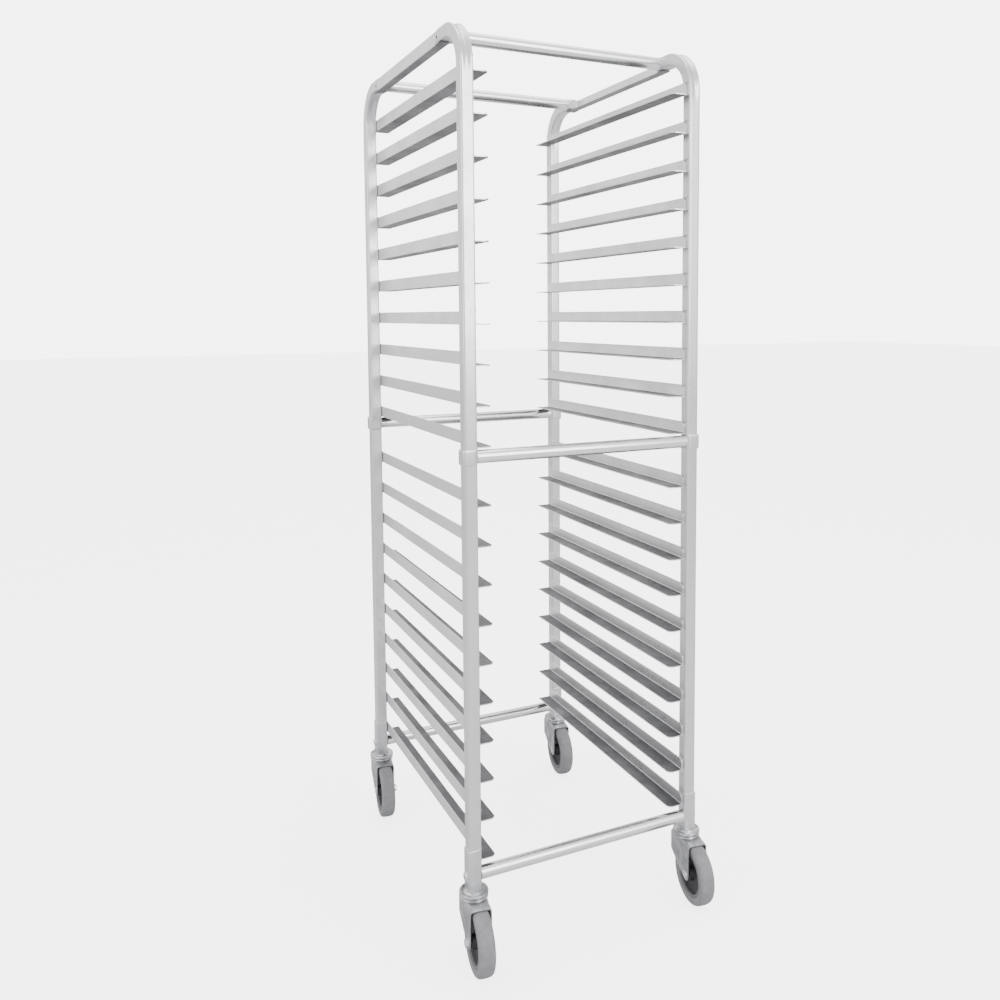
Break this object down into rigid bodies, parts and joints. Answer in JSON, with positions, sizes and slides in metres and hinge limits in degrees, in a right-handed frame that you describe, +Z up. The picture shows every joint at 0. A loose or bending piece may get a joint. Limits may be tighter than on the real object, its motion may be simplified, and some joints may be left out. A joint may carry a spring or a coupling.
{
  "type": "sheet pan rack",
  "caption": "Tall open aluminium rack on swivel casters, with pairs of angle runners that hold sheet pans slid in from one end.",
  "frame": {"origin": "bottom centre of the whole object's box, on the floor under the rack", "axes": "+Z up; -Y towards the open loading side, where the casters trail; +X to the right seen from the loading side"},
  "size_m": [0.5505, 0.7654, 1.78],
  "materials": {
    "post_tube": "satin drawn square tube, fine lengthwise grain",
    "top_angle": "satin mill-finish angle",
    "runner_angle": "satin mill-finish angle, worn by pans on the ledge",
    "crossbar_tube": "bright drawn round tube",
    "zinc_fork": "zinc-plated pressed steel",
    "caster_tyre": "soft grey non-marking rubber",
    "caster_hub": "dark moulded hub"
  },
  "bodies": {
    "frame": {"post_front_left": "post_tube", "post_rear_left": "post_tube", "top_rail_left": "top_angle", "runner_left_01": "runner_angle", "runner_left_02": "runner_angle", "runner_left_03": "runner_angle", "runner_left_04": "runner_angle", "runner_left_05": "runner_angle", "runner_left_06": "runner_angle", "runner_left_07": "runner_angle", "runner_left_08": "runner_angle", "runner_left_09": "runner_angle", "runner_left_10": "runner_angle", "runner_left_11": "runner_angle", "runner_left_12": "runner_angle", "runner_left_13": "runner_angle", "runner_left_14": "runner_angle", "runner_left_15": "runner_angle", "runner_left_16": "runner_angle", "runner_left_17": "runner_angle", "runner_left_18": "runner_angle", "runner_left_19": "runner_angle", "runner_left_20": "runner_angle", "post_front_right": "post_tube", "post_rear_right": "post_tube", "top_rail_right": "top_angle", "runner_right_01": "runner_angle", "runner_right_02": "runner_angle", "runner_right_03": "runner_angle", "runner_right_04": "runner_angle", "runner_right_05": "runner_angle", "runner_right_06": "runner_angle", "runner_right_07": "runner_angle", "runner_right_08": "runner_angle", "runner_right_09": "runner_angle", "runner_right_10": "runner_angle", "runner_right_11": "runner_angle", "runner_right_12": "runner_angle", "runner_right_13": "runner_angle", "runner_right_14": "runner_angle", "runner_right_15": "runner_angle", "runner_right_16": "runner_angle", "runner_right_17": "runner_angle", "runner_right_18": "runner_angle", "runner_right_19": "runner_angle", "runner_right_20": "runner_angle", "crossbar_top_front": "crossbar_tube", "crossbar_top_rear": "crossbar_tube", "crossbar_middle_front": "crossbar_tube", "crossbar_middle_rear": "crossbar_tube", "crossbar_bottom_front": "crossbar_tube", "crossbar_bottom_rear": "crossbar_tube"},
    "fork_front_left": {"caster_fork_front_left": "zinc_fork"},
    "wheel_front_left": {"caster_wheel_front_left": "caster_tyre"},
    "fork_rear_left": {"caster_fork_rear_left": "zinc_fork"},
    "wheel_rear_left": {"caster_wheel_rear_left": "caster_tyre"},
    "fork_front_right": {"caster_fork_front_right": "zinc_fork"},
    "wheel_front_right": {"caster_wheel_front_right": "caster_tyre"},
    "fork_rear_right": {"caster_fork_rear_right": "zinc_fork"},
    "wheel_rear_right": {"caster_wheel_rear_right": "caster_tyre"}
  },
  "joints": [
    {"name": "swivel_front_left", "type": "hinge", "parent": "frame", "child": "fork_front_left", "pos_m": [-0.2445, -0.2811, 0.133], "axis": [0, 0, 1], "continuous": true},
    {"name": "roll_front_left", "type": "hinge", "parent": "fork_front_left", "child": "wheel_front_left", "pos_m": [-0.24847, -0.3189, 0.0635], "axis": [0.9945, -0.1045, 0], "continuous": true},
    {"name": "swivel_rear_left", "type": "hinge", "parent": "frame", "child": "fork_rear_left", "pos_m": [-0.2445, 0.3539, 0.133], "axis": [0, 0, 1], "continuous": true},
    {"name": "roll_rear_left", "type": "hinge", "parent": "fork_rear_left", "child": "wheel_rear_left", "pos_m": [-0.24847, 0.3161, 0.0635], "axis": [0.9945, -0.1045, 0], "continuous": true},
    {"name": "swivel_front_right", "type": "hinge", "parent": "frame", "child": "fork_front_right", "pos_m": [0.2445, -0.2811, 0.133], "axis": [0, 0, 1], "continuous": true},
    {"name": "roll_front_right", "type": "hinge", "parent": "fork_front_right", "child": "wheel_front_right", "pos_m": [0.24053, -0.3189, 0.0635], "axis": [0.9945, -0.1045, 0], "continuous": true},
    {"name": "swivel_rear_right", "type": "hinge", "parent": "frame", "child": "fork_rear_right", "pos_m": [0.2445, 0.3539, 0.133], "axis": [0, 0, 1], "continuous": true},
    {"name": "roll_rear_right", "type": "hinge", "parent": "fork_rear_right", "child": "wheel_rear_right", "pos_m": [0.24053, 0.3161, 0.0635], "axis": [0.9945, -0.1045, 0], "continuous": true}
  ]
}
